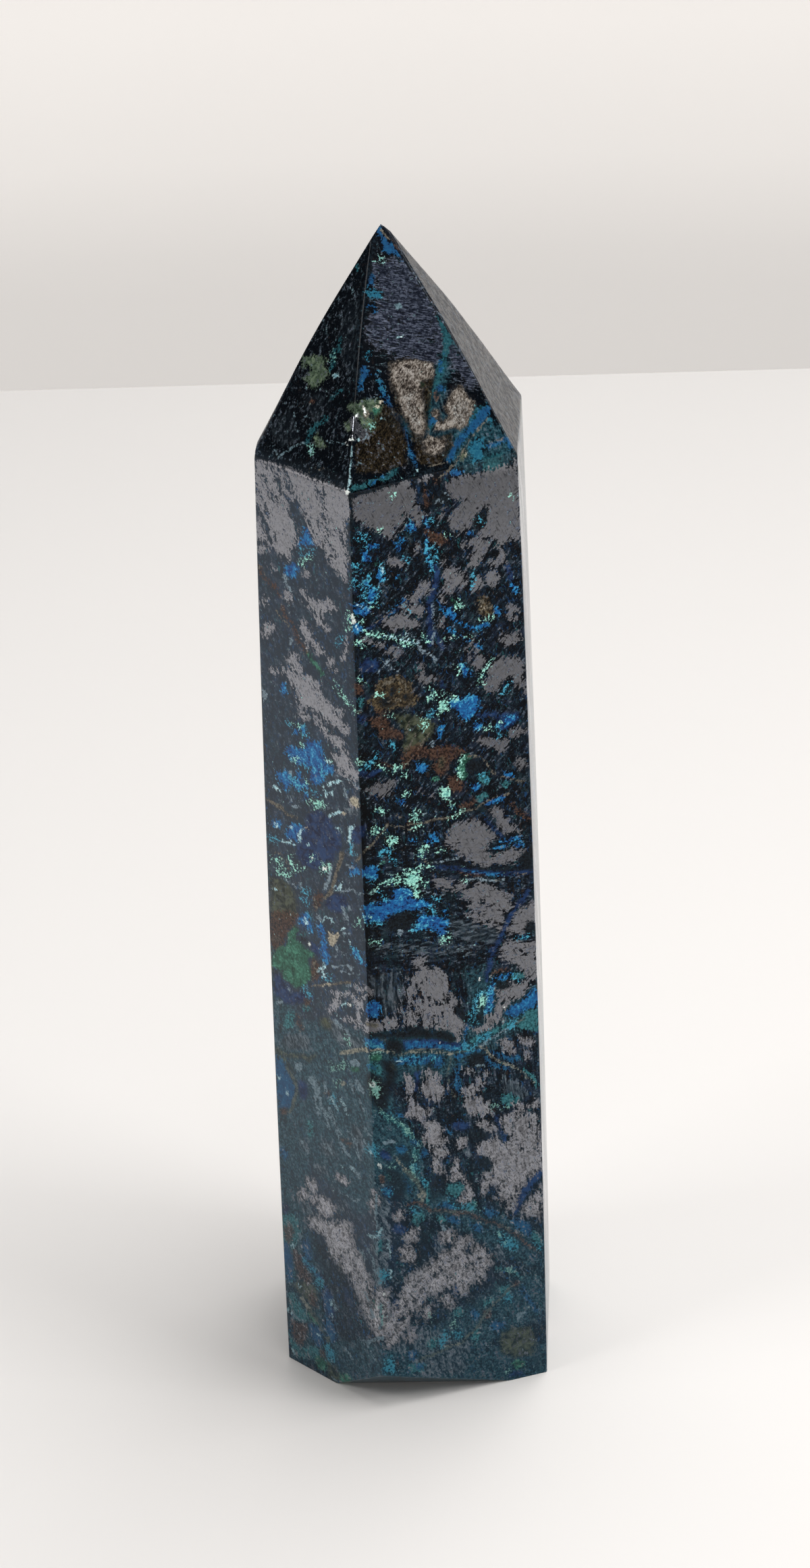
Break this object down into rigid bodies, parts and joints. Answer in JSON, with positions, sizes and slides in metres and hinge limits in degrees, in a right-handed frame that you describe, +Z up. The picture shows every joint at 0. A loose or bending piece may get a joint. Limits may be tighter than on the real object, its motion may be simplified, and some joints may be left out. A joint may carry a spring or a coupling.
{
  "type": "polished azurite and chrysocolla point",
  "caption": "Hand-cut polished mineral tower: a tapering hexagonal column with a faceted tip, standing on its flat foot as a display stone.",
  "frame": {"origin": "middle of the bounding box at the foot, on the surface the stone stands on", "axes": "+Z up along the column to the tip, -Y towards the long front edge between the two faces seen in the picture, +X to the right"},
  "size_m": [0.0216, 0.0232, 0.095],
  "materials": {
    "azurite_chrysocolla": "polished mottled mineral: near-black blue matrix with grey metallic patches, azure, turquoise, mint, malachite green and rust veins"
  },
  "bodies": {
    "root": {"stone_point": "azurite_chrysocolla"}
  },
  "joints": []
}
